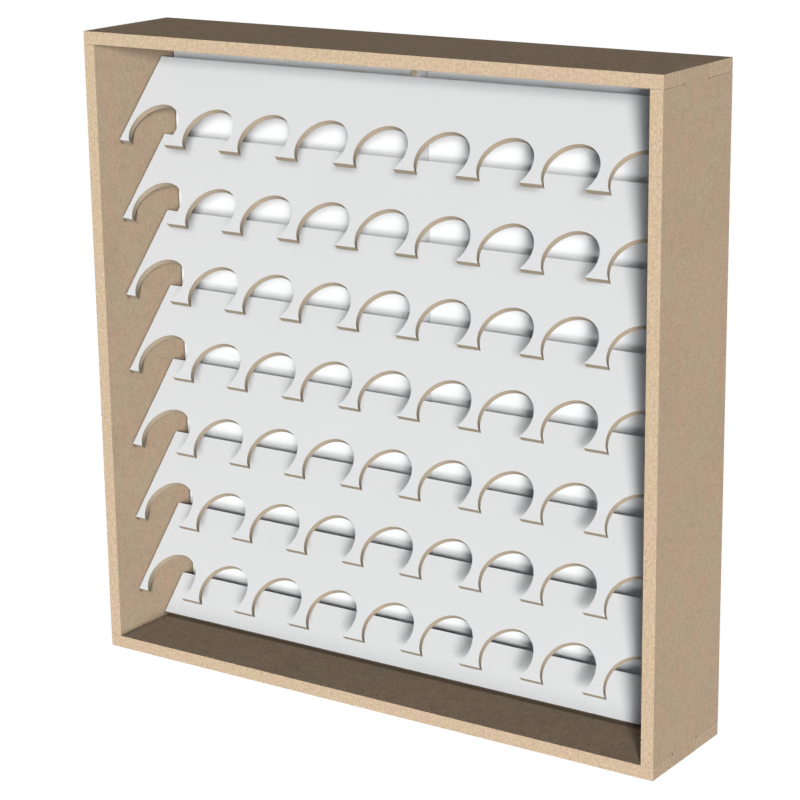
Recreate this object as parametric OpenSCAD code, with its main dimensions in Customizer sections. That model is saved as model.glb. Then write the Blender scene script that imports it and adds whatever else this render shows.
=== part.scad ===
// Wall or desk rack that holds model paint bottles at a slant, each one in a notch
// of one shelf with its foot on the face of the shelf below.
// Origin: middle of the footprint, on the ground. +X right, +Y to the back, +Z up.

/* [Bottles] */
// Diameter of the paint bottles
bottle_d = 25; // [24:0.5:26]
// Play of a bottle in its notch, on the diameter
bottle_play = 1.5; // [1:0.1:2]
// Number of columns of bottles
columns = 9; // [3:1:12]
// Number of rows of bottles
rows = 7; // [2:1:9]

/* [Frame] */
// Outer depth of the frame
rack_d = 60; // [58:1:70]
// Thickness of the four frame boards
board = 6; // [5:0.5:8]
// Width of the tab in the middle of each end of a side board
tab_w = 22; // [16:1:24]
// Diameter of the relief hole in the inner corners of a tab
relief_d = 1.4; // [0.8:0.1:1.6]

/* [Shelves] */
// Thickness of the shelves, the back panel and the centre rib
sheet = 3; // [2.5:0.5:3.5]
// Slope of the shelves from level
slope = 47; // [46:0.5:48]
// Width of a shelf, measured up its slope
shelf_len = 48.2; // [47:0.1:49]
// Vertical distance from one shelf to the next
row_pitch = 37; // [36.5:0.5:38]
// Distance from the front of the frame to the lower edge of a shelf
shelf_setback = 15.1; // [13:0.1:15.5]
// Width of the web that is left between two notches
web = 5.5; // [5:0.5:8]
// Height of a notch's centre above the shelf's lower edge, up the slope
notch_rise = 8.4; // [7:0.1:9]
// Height of the base shelf's upper edge above the ground
base_top = 24.2; // [22:0.1:26]
// Distance of the base shelf behind the line of the other shelves
base_setback = 1.2; // [0:0.1:1.5]
// Clear height from the top shelf's upper edge to the top board
head_gap = 10.8; // [8:0.1:20]

/* [Joinery] */
// Depth of the blind grooves that hold the shelves in the side boards
groove_depth = 3; // [2:0.5:3]
// Total glue play of a shelf in its groove
glue_play = 0.1; // [0.05:0.05:0.2]
// Depth of the centre rib, in front of the back panel
rib_d = 9; // [8.5:0.5:9.5]

/* [Hidden] */

notch_d = bottle_d + bottle_play;
col_pitch = notch_d + web;
inner_w = columns * col_pitch;
rack_w = inner_w + 2 * board;
rack_h = base_top + rows * row_pitch + head_gap + board;
inner_h = rack_h - 2 * board;
front_y = -rack_d / 2;
back_y = rack_d / 2 - sheet;
tab_y = (front_y + back_y) / 2;

shelf_rise = shelf_len * sin(slope);
shelf_y = front_y + shelf_setback;
shelf_w = inner_w + 2 * groove_depth;
// The base shelf is cut square, and its lower rear corner rests on the bottom board
base_len = (base_top - board - sheet * cos(slope)) / sin(slope);

cut = 1; // how far a cutting shape runs past the face that it opens
arc_fn = 96;

function column_x(col) = (col - (columns + 1) / 2) * col_pitch;
// Height of the lower edge of a shelf. Rows count down from 1 at the top, and the
// base shelf is the one below the last row
function shelf_z(row) = base_top + (rows + 1 - row) * row_pitch - shelf_rise;
function shelf_front(row) = shelf_y + (row > rows ? base_setback : 0);

// Puts its children on a shelf: x along it, y up its slope from the lower edge,
// z out of its bottle face
module on_shelf(row) {
    translate([0, shelf_front(row), shelf_z(row)]) rotate([slope, 0, 0]) children();
}

// The plain slab of a shelf, from one height up the slope to the upper edge
module slab(width, from, play = 0) {
    translate([-width / 2, from - play / 2, -sheet - play / 2])
        cube([width, shelf_len - from + play, sheet + play]);
}

// The slabs of every shelf, the base shelf as the last one
module all_slabs(width, play) {
    for (row = [1:rows]) on_shelf(row) slab(width, 0, play);
    on_shelf(rows + 1) slab(width, shelf_len - base_len, play);
}

// One end board of the frame, lying flat, with an open slot at each end for a tab
module end_board() {
    difference() {
        translate([-rack_w / 2, front_y, 0]) cube([rack_w, rack_d, board]);
        for (side = [-1, 1])
            translate([side * rack_w / 2 - board, tab_y - tab_w / 2, -cut])
                cube([2 * board, tab_w, board + 2 * cut]);
    }
}

module top_board() {
    color("burlywood") translate([0, 0, rack_h - board]) end_board();
}

module bottom_board() {
    color("burlywood") end_board();
}

// A side board on the +X side: it stands between the end boards, a tab goes through
// each of them, and a blind groove in its inner face takes the end of each shelf
module side_board() {
    difference() {
        union() {
            translate([inner_w / 2, front_y, board]) cube([board, rack_d, inner_h]);
            translate([inner_w / 2, tab_y - tab_w / 2, 0]) cube([board, tab_w, rack_h]);
        }
        all_slabs(shelf_w + glue_play, glue_play);
        for (y = [tab_y - tab_w / 2, tab_y + tab_w / 2], z = [board, rack_h - board])
            translate([inner_w / 2 - cut, y, z]) rotate([0, 90, 0])
                cylinder(d = relief_d, h = board + 2 * cut, $fn = 24);
    }
}

module left_side() {
    color("tan") mirror([1, 0, 0]) side_board();
}

module right_side() {
    color("tan") side_board();
}

// The back panel is let in flush with the rear of the frame
module back_panel() {
    color("white") translate([-inner_w / 2, back_y, board]) cube([inner_w, sheet, inner_h]);
}

// A slim upright strip on the back panel's middle line. The upper edge of each shelf
// sits in a slot in its front, so the long shelves can't sag
module centre_rib() {
    color("white") difference() {
        translate([-sheet / 2, back_y - rib_d, board]) cube([sheet, rib_d, inner_h]);
        all_slabs(sheet + 2 * cut, glue_play);
    }
}

// A shelf with a row of round notches, open at its lower edge
module bottle_shelf(row) {
    color("whitesmoke") on_shelf(row) difference() {
        slab(shelf_w, 0);
        for (col = [1:columns])
            translate([column_x(col), notch_rise, -sheet - cut])
                cylinder(d = notch_d, h = sheet + 2 * cut, $fn = arc_fn);
    }
}

// The short plain shelf that the lowest row of bottles stands on
module base_shelf() {
    color("whitesmoke") on_shelf(rows + 1) slab(shelf_w, shelf_len - base_len);
}

top_board();
bottom_board();
left_side();
right_side();
back_panel();
centre_rib();
for (row = [1:rows])
    bottle_shelf(row);
base_shelf();
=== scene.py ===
"""The looks of the paint rack organizer: raw MDF frame, white-lacquered shelves with
brown cut edges, a white back panel, soft studio light and the camera."""

from math import cos, pi, radians, sin

import bpy
from mathutils import Matrix, Quaternion, Vector


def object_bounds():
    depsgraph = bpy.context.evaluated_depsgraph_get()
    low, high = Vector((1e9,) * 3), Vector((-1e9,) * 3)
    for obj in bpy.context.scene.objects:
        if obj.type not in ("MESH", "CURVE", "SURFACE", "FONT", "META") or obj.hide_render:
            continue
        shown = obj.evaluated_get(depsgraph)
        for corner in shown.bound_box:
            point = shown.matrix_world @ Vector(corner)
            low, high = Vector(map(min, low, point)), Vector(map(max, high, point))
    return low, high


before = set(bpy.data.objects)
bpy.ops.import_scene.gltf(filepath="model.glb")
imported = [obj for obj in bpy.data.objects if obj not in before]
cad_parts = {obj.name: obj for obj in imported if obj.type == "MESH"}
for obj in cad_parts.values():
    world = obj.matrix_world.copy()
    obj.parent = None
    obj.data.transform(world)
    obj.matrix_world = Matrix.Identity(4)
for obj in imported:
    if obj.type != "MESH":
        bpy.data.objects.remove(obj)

MM = 0.001
CAD_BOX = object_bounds()

# ---------------------------------------------------------------- driving values
SHELF_SLOPE = radians(47)          # as in the CAD source
VIEW_AZIMUTH = radians(34.36)      # camera to the right of the front
VIEW_ELEVATION = radians(15.44)
VIEW_ROLL = radians(-0.78)
VIEW_DISTANCE = 1.1078             # camera to the middle of the rack
VIEW_OFFSET = Vector((3.2, -1.2, -10.1)) * MM   # of the aim from the rack's middle
LENS = 110.62                      # mm on a 36 mm sensor

# The front light is a tall narrow softbox: one bright head and a dimmer tail below it.
# Each step has an azimuth and an elevation in degrees, and a strength. A strength is how
# bright the light makes a white card that is square to it.
SOFTBOX = ((35.6, 12.4, 0.59), (34.8, 6.0, 0.28), (33.0, 0.0, 0.20), (30.0, -6.5, 0.24))
SOFTBOX_WIDTH = radians(8)
FILL_STRENGTH = 0.085              # a card by the camera, too wide to throw a shadow
REAR_AZIMUTH = radians(215)        # a wide light behind the rack, level with it
REAR_ELEVATION = 0.0
REAR_STRENGTH = 0.94
REAR_SOFTNESS = radians(25)
AMBIENT = 0.04
COOL = (0.86, 0.93, 1.0)           # what fills the shadows is a little blue
BOUNCES = 0                        # the lights above already include what bounces
FLOOR_GLOW = 0.94                  # keeps the floor as pale as the backdrop
FLOOR_GREY = (0.25, 0.25, 0.25)
FLOOR_SIZE = 14.0                  # m

MDF_OLIVE = (0.538, 0.423, 0.287)  # pressed face of the frame boards, in its two hues
MDF_PINK = (0.572, 0.405, 0.283)
EDGE_STRAW = (0.585, 0.457, 0.303)   # sawn edge of the frame boards, in its two hues
EDGE_PINK = (0.612, 0.447, 0.314)
LEVEL_MOTTLE_AND_SHADE = 1.8               # the level boards' mottle drawn stronger: their own mottle plus painted shade for grazing light on their relief
HDF_BROWN = (0.485, 0.40, 0.295)   # cut edge of the thin sheet
HDF_REAR = (0.33, 0.22, 0.145)     # its bare rear face
SHELF_WHITE = (0.83, 0.83, 0.83)
BACK_WHITE = (0.90, 0.90, 0.90)
PAINTED_CREVICE_SHADE = (0.10, 0.07, 0.05)        # painted shade in the seams, corners and narrow holes
PAINTED_SHADE_REACH = 3.0 * MM           # how far the painted shade spreads out of a corner

FRAME_EDGE = 0.25 * MM             # width that sanding takes off the frame's edges
SHEET_EDGE = 0.12 * MM             # and off the sheet's edges
SAME_POINT = 0.001 * MM
SHARP = radians(35)                # a steeper crease is an edge and is broken
FLAT = radians(1)                  # a shallower one is part of a flat face

UP, ACROSS, DEEP = Vector((0, 0, 1)), Vector((1, 0, 0)), Vector((0, 1, 0))
SHELF_FACE = Vector((0, -sin(SHELF_SLOPE), cos(SHELF_SLOPE)))


# ---------------------------------------------------------------- node helpers
def rgba(colour, gain=1.0):
    """A colour for a node's socket, made brighter by gain."""
    return (*(c * gain for c in colour), 1.0)


class Tree:
    """A material's node tree, with one short call for each kind of node."""

    def __init__(self, name):
        self.material = bpy.data.materials.new(name)
        self.material.use_nodes = True
        self.nodes, self.links = self.material.node_tree.nodes, self.material.node_tree.links
        self.nodes.clear()
        self.coords = self.add("TexCoord")

    def add(self, kind, inputs=None, **settings):
        """A new node. Each input is linked if its value is a socket, and set if not."""
        made = self.nodes.new("ShaderNode" + kind)
        for name, value in settings.items():
            setattr(made, name, value)
        for name, value in (inputs or {}).items():
            if isinstance(value, bpy.types.NodeSocket):
                self.links.new(value, made.inputs[name])
            else:
                made.inputs[name].default_value = value
        return made

    def math(self, operation, a, b=0.0, clamp=False):
        """The result of a Math node on one or two values."""
        made = self.add("Math", {0: a, 1: b}, operation=operation, use_clamp=clamp)
        return made.outputs[0]

    def sum(self, base, *patterns):
        """base plus each pattern's value times its weight."""
        for value, weight in patterns:
            base = self.add("Math", {0: value, 1: weight, 2: base},
                            operation="MULTIPLY_ADD").outputs[0]
        return base

    def grey(self, value):
        """A value as a colour."""
        made = self.add("CombineColor", {0: value, 1: value, 2: value})
        return made.outputs[0]

    def ramp(self, value, low, high):
        """0 where value is at low or beyond it, 1 at high or beyond, eased in between."""
        made = self.add("MapRange", {"Value": value, 1: low, 2: high},
                        interpolation_type="SMOOTHSTEP")
        return made.outputs[0]

    def noise(self, per_metre, detail=4.0, rough=0.55, stretch=(1, 1, 1), turn=(0, 0, 0)):
        """A cloudy pattern from 0 to 1, with this many blotches to the metre."""
        place = self.add("Mapping", {"Vector": self.coords.outputs["Object"],
                                     "Scale": stretch, "Rotation": turn})
        made = self.add("TexNoise", {"Vector": place.outputs[0], "Scale": per_metre,
                                     "Detail": detail, "Roughness": rough})
        return made.outputs[0]

    def blend(self, factor, a, b, kind="MIX"):
        """Colour a where the factor is 0, and colour b where it is 1."""
        made = self.add("Mix", {0: factor, 6: a, 7: b}, data_type="RGBA", blend_type=kind)
        return made.outputs[2]

    def toned(self, colour, tone):
        """A colour, lighter or darker by a pattern about 1."""
        return self.blend(1.0, colour, self.grey(tone), "MULTIPLY")

    def facing(self, axis):
        """How squarely the surface faces an axis of the rack: 1 towards it, -1 away."""
        made = self.add("VectorMath", {0: self.coords.outputs["Normal"], 1: axis},
                        operation="DOT_PRODUCT")
        return made.outputs["Value"]

    def arris(self, radius):
        """1 on sharp edges, 0 away from them."""
        rounded = self.add("Bevel", {"Radius": radius}, samples=6)
        flat = self.add("NewGeometry")
        made = self.add("VectorMath", {0: rounded.outputs[0], 1: flat.outputs["Normal"]},
                        operation="DOT_PRODUCT")
        return self.ramp(made.outputs["Value"], 0.98, 0.85)

    def painted_crevice_shade(self):
        """How much shade to paint: 1 deep in a hole, a seam or a corner, 0 on open faces."""
        made = self.add("AmbientOcclusion", {"Distance": PAINTED_SHADE_REACH}, samples=6)
        return self.ramp(made.outputs["AO"], 0.85, 0.45)

    def finish(self, colour, roughness, height, bump_distance, specular):
        """The material, with these patterns on its shader."""
        bump = self.add("Bump", {"Height": height, "Distance": bump_distance, "Strength": 1.0})
        shader = self.add("BsdfPrincipled", {
            "Base Color": colour, "Roughness": roughness, "Normal": bump.outputs[0]})
        shader.inputs["Specular IOR Level"].default_value = specular
        output = self.add("OutputMaterial")
        self.links.new(shader.outputs[0], output.inputs[0])
        return self.material


# ---------------------------------------------------------------- materials
def mdf(name, thickness_axis, grain, contrast=1.0):
    """Raw MDF. Its pressed faces are mottled with felted fibre, and its sawn edges are
    paler, with fine layers that run along the board, the grain direction."""
    t = Tree(name)
    face = t.ramp(t.math("ABSOLUTE", t.facing(thickness_axis)), 0.60, 0.80)

    cloud = t.noise(28, 3)
    mottle = t.noise(260, 5, 0.62)
    pulp = t.noise(800, 3, 0.65)
    felt = t.noise(520, 3, 0.6, stretch=(1.0, 0.35, 1.0), turn=(0.4, 0.7, 1.1))
    felt_b = t.noise(520, 3, 0.6, stretch=(0.35, 1.0, 1.0), turn=(1.2, 0.3, 0.5))
    fibres = t.ramp(t.math("MAXIMUM", felt, felt_b), 0.60, 0.74)
    speck = t.ramp(t.noise(640, 2, 0.5), 0.68, 0.74)
    tone = t.sum(0.95 - 0.48 * contrast, (cloud, 0.12), (mottle, 0.34 * contrast),
                 (pulp, 0.62 * contrast), (fibres, -0.08), (speck, -0.24))
    warm = t.ramp(t.noise(75, 5, 0.7), 0.36, 0.64)
    pressed = t.toned(t.blend(warm, rgba(MDF_OLIVE), rgba(MDF_PINK)), tone)

    along = tuple(0.10 if grain[i] else 1.0 for i in range(3))
    layers = t.noise(1500, 3, 0.6, stretch=along)
    crumbs = t.noise(700, 4, 0.7)
    pits = t.ramp(t.noise(1000, 2, 0.5), 0.62, 0.72)
    flecks = t.ramp(t.noise(900, 2, 0.5), 0.60, 0.70)
    edge_tone = t.sum(0.31, (layers, 0.30), (crumbs, 1.08), (pits, -0.22), (flecks, 0.14))
    sawn = t.toned(t.blend(warm, rgba(EDGE_STRAW), rgba(EDGE_PINK)), edge_tone)

    colour = t.blend(face, sawn, pressed)
    worn = t.math("MULTIPLY", t.arris(0.5 * MM), t.ramp(t.noise(140, 4), 0.40, 0.65))
    colour = t.blend(t.math("MULTIPLY", worn, 0.5), colour, rgba(EDGE_PINK, 1.12))
    # Painted shade: ambient occlusion darkens the corners, seams and holes of the frame.
    colour = t.blend(t.math("MULTIPLY", t.painted_crevice_shade(), 0.7), colour, rgba(PAINTED_CREVICE_SHADE))

    roughness = t.sum(0.72, (mottle, 0.16))
    height = t.blend(face, t.grey(edge_tone), t.grey(t.math("MULTIPLY", tone, 0.5)))
    return t.finish(colour, roughness, height, bump_distance=0.25 * MM, specular=0.25)


def lacquered_sheet(name, white_side, white):
    """Thin hardboard, lacquered white on one side. Its cut edges are brown, and its rear
    face is bare and darker, with a fine upright grain."""
    t = Tree(name)
    towards = t.facing(white_side)
    lacquered = t.ramp(towards, 0.45, 0.60)
    rear = t.ramp(towards, -0.45, -0.60)

    cloud = t.noise(18, 3)
    peel = t.noise(700, 2, 0.5)
    scuff = t.ramp(t.noise(90, 6, 0.7), 0.58, 0.74)
    dust = t.ramp(t.noise(1500, 2, 0.5), 0.70, 0.78)
    tone = t.sum(0.982, (cloud, 0.035), (scuff, -0.012), (dust, -0.03))
    lacquer = t.toned(rgba(white), tone)

    fibre = t.noise(1300, 4, 0.7)
    scorch = t.noise(160, 3, 0.6)
    cut = t.toned(rgba(HDF_BROWN), t.sum(0.70, (fibre, 0.36), (scorch, 0.24)))
    # Painted shade: the cut edges darken where they sit in corners, seams and holes.
    cut = t.blend(t.math("MULTIPLY", t.painted_crevice_shade(), 0.85), cut, rgba(PAINTED_CREVICE_SHADE))
    blotch = t.noise(45, 5, 0.6)
    grain = t.noise(900, 2, 0.5, stretch=(1.0, 1.0, 0.3))
    bare = t.toned(rgba(HDF_REAR), t.sum(0.38, (fibre, 0.50), (blotch, 0.24), (grain, 0.50)))
    core = t.blend(rear, cut, bare)

    chips = t.math("MULTIPLY", t.arris(0.3 * MM), t.ramp(t.noise(420, 4, 0.7), 0.60, 0.66))
    shown = t.math("SUBTRACT", lacquered, t.math("MULTIPLY", chips, 0.7), clamp=True)
    colour = t.blend(shown, core, lacquer)

    gloss = t.sum(0.42, (scuff, 0.12))
    roughness = t.add("Mix", {0: shown, 2: 0.85, 3: gloss}).outputs[0]
    height = t.blend(shown, t.grey(fibre), t.grey(t.math("MULTIPLY", peel, 0.12)))
    return t.finish(colour, roughness, height, bump_distance=0.12 * MM, specular=0.4)


# ---------------------------------------------------------------- modifiers
def smooth_by_angle():
    """A node group that drops imported normals and shades smooth up to SHARP."""
    group = bpy.data.node_groups.new("smooth_by_angle", "GeometryNodeTree")
    group.interface.new_socket("Geometry", in_out="INPUT", socket_type="NodeSocketGeometry")
    group.interface.new_socket("Geometry", in_out="OUTPUT", socket_type="NodeSocketGeometry")
    n, link = group.nodes, group.links.new
    start, end = n.new("NodeGroupInput"), n.new("NodeGroupOutput")
    drop = n.new("GeometryNodeRemoveAttribute")
    drop.inputs["Name"].default_value = "custom_normal"
    all_smooth = n.new("GeometryNodeSetShadeSmooth")
    angle = n.new("GeometryNodeInputMeshEdgeAngle")
    over = n.new("FunctionNodeCompare")
    over.inputs[1].default_value = SHARP
    creases = n.new("GeometryNodeSetShadeSmooth")
    creases.domain = "EDGE"
    creases.inputs["Shade Smooth"].default_value = False
    link(start.outputs[0], drop.inputs[0])
    link(drop.outputs[0], all_smooth.inputs[0])
    link(all_smooth.outputs[0], creases.inputs[0])
    link(angle.outputs["Unsigned Angle"], over.inputs[0])
    link(over.outputs[0], creases.inputs["Selection"])
    link(creases.outputs[0], end.inputs[0])
    return group


def soften(node, radius, group):
    """Breaks the sharp edges of a CAD node as sanding does, without moving it."""
    weld = node.modifiers.new("weld", "WELD")
    weld.merge_threshold = SAME_POINT
    flat = node.modifiers.new("flat_faces", "DECIMATE")
    flat.decimate_type = "DISSOLVE"
    flat.angle_limit = FLAT
    edge = node.modifiers.new("broken_edges", "BEVEL")
    edge.width = radius
    edge.segments = 2
    edge.limit_method = "ANGLE"
    edge.angle_limit = SHARP
    shade = node.modifiers.new("shading", "NODES")
    shade.node_group = group
    even = node.modifiers.new("even_faces", "WEIGHTED_NORMAL")
    even.weight = 100
    even.keep_sharp = True


def dress():
    """Gives every CAD node its material and its broken edges."""
    group = smooth_by_angle()
    # The level boards' stronger mottle is partly painted shade, for grazing light on their tops.
    upright, level = mdf("mdf_upright", ACROSS, UP), mdf("mdf_level", UP, ACROSS, LEVEL_MOTTLE_AND_SHADE)
    boards = {"left_side": upright, "right_side": upright,
              "top_board": level, "bottom_board": level}
    sheets = {"back_panel": lacquered_sheet("lacquered_back", -DEEP, BACK_WHITE),
              "centre_rib": lacquered_sheet("lacquered_rib", ACROSS, BACK_WHITE)}
    shelf = lacquered_sheet("lacquered_shelf", SHELF_FACE, SHELF_WHITE)
    for name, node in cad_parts.items():
        node.data.materials.clear()
        node.data.materials.append(boards.get(name) or sheets.get(name, shelf))
        soften(node, FRAME_EDGE if name in boards else SHEET_EDGE, group)


# ---------------------------------------------------------------- studio
def direction(azimuth, elevation):
    """Unit vector from the rack towards a viewer or a light at these angles."""
    return Vector((sin(azimuth) * cos(elevation), -cos(azimuth) * cos(elevation), sin(elevation)))


def sun(name, azimuth, elevation, strength, softness, colour=(1, 1, 1), shiny=True, shadow=True):
    """A light from this direction. One that isn't shiny shows in no reflection."""
    data = bpy.data.lights.new(name, "SUN")
    data.energy = strength * pi
    data.angle = softness
    data.color = colour
    data.use_shadow = shadow
    light = bpy.data.objects.new(name, data)
    light.visible_glossy = shiny
    light.rotation_euler = direction(azimuth, elevation).to_track_quat("Z", "Y").to_euler()
    bpy.context.scene.collection.objects.link(light)


def floor():
    """Plain paper, kept near white by its own glow, which lights nothing else."""
    bpy.ops.mesh.primitive_plane_add(size=FLOOR_SIZE)
    plane = bpy.context.object
    plane.name = "floor"
    t = Tree("floor")
    paper = t.add("BsdfDiffuse", {"Color": rgba(FLOOR_GREY)})
    glow = t.add("Emission", {"Color": rgba((1, 1, 1)), "Strength": FLOOR_GLOW})
    both = t.add("AddShader")
    t.links.new(paper.outputs[0], both.inputs[0])
    t.links.new(glow.outputs[0], both.inputs[1])
    t.links.new(both.outputs[0], t.add("OutputMaterial").inputs[0])
    plane.data.materials.append(t.material)
    plane.visible_diffuse = False
    plane.visible_glossy = False
    plane.visible_shadow = False


def backdrop():
    """White behind the rack, and a low even fill light."""
    world = bpy.data.worlds.new("studio")
    world.use_nodes = True
    tree = world.node_tree
    tree.nodes.clear()
    seen, fill = tree.nodes.new("ShaderNodeBackground"), tree.nodes.new("ShaderNodeBackground")
    seen.inputs["Strength"].default_value = 1.0
    seen.inputs["Color"].default_value = rgba((1, 1, 1))
    fill.inputs["Strength"].default_value = AMBIENT
    fill.inputs["Color"].default_value = rgba(COOL)
    path, mix = tree.nodes.new("ShaderNodeLightPath"), tree.nodes.new("ShaderNodeMixShader")
    out = tree.nodes.new("ShaderNodeOutputWorld")
    tree.links.new(path.outputs["Is Camera Ray"], mix.inputs[0])
    tree.links.new(fill.outputs[0], mix.inputs[1])
    tree.links.new(seen.outputs[0], mix.inputs[2])
    tree.links.new(mix.outputs[0], out.inputs[0])
    bpy.context.scene.world = world


def camera():
    """The camera, at the photograph's angle and distance."""
    low, high = CAD_BOX
    aim = (low + high) / 2 + VIEW_OFFSET
    data = bpy.data.cameras.new("camera")
    data.lens = LENS
    data.clip_end = 50
    cam = bpy.data.objects.new("camera", data)
    back = direction(VIEW_AZIMUTH, VIEW_ELEVATION)
    turn = back.to_track_quat("Z", "Y") @ Quaternion((0, 0, 1), VIEW_ROLL)
    cam.matrix_world = Matrix.Translation(aim + back * VIEW_DISTANCE) @ turn.to_matrix().to_4x4()
    bpy.context.scene.collection.objects.link(cam)
    bpy.context.scene.camera = cam


camera()
dress()
floor()
backdrop()
for step, (azimuth, elevation, strength) in enumerate(SOFTBOX):
    sun(f"softbox_{step}", radians(azimuth), radians(elevation), strength, SOFTBOX_WIDTH)
sun("card_fill", VIEW_AZIMUTH, VIEW_ELEVATION, FILL_STRENGTH, SOFTBOX_WIDTH, COOL,
    shiny=False, shadow=False)
sun("rear_fill", REAR_AZIMUTH, REAR_ELEVATION, REAR_STRENGTH, REAR_SOFTNESS,
    shiny=False, shadow=False)
bpy.context.scene.view_settings.view_transform = "Standard"
bpy.context.scene.cycles.diffuse_bounces = BOUNCES
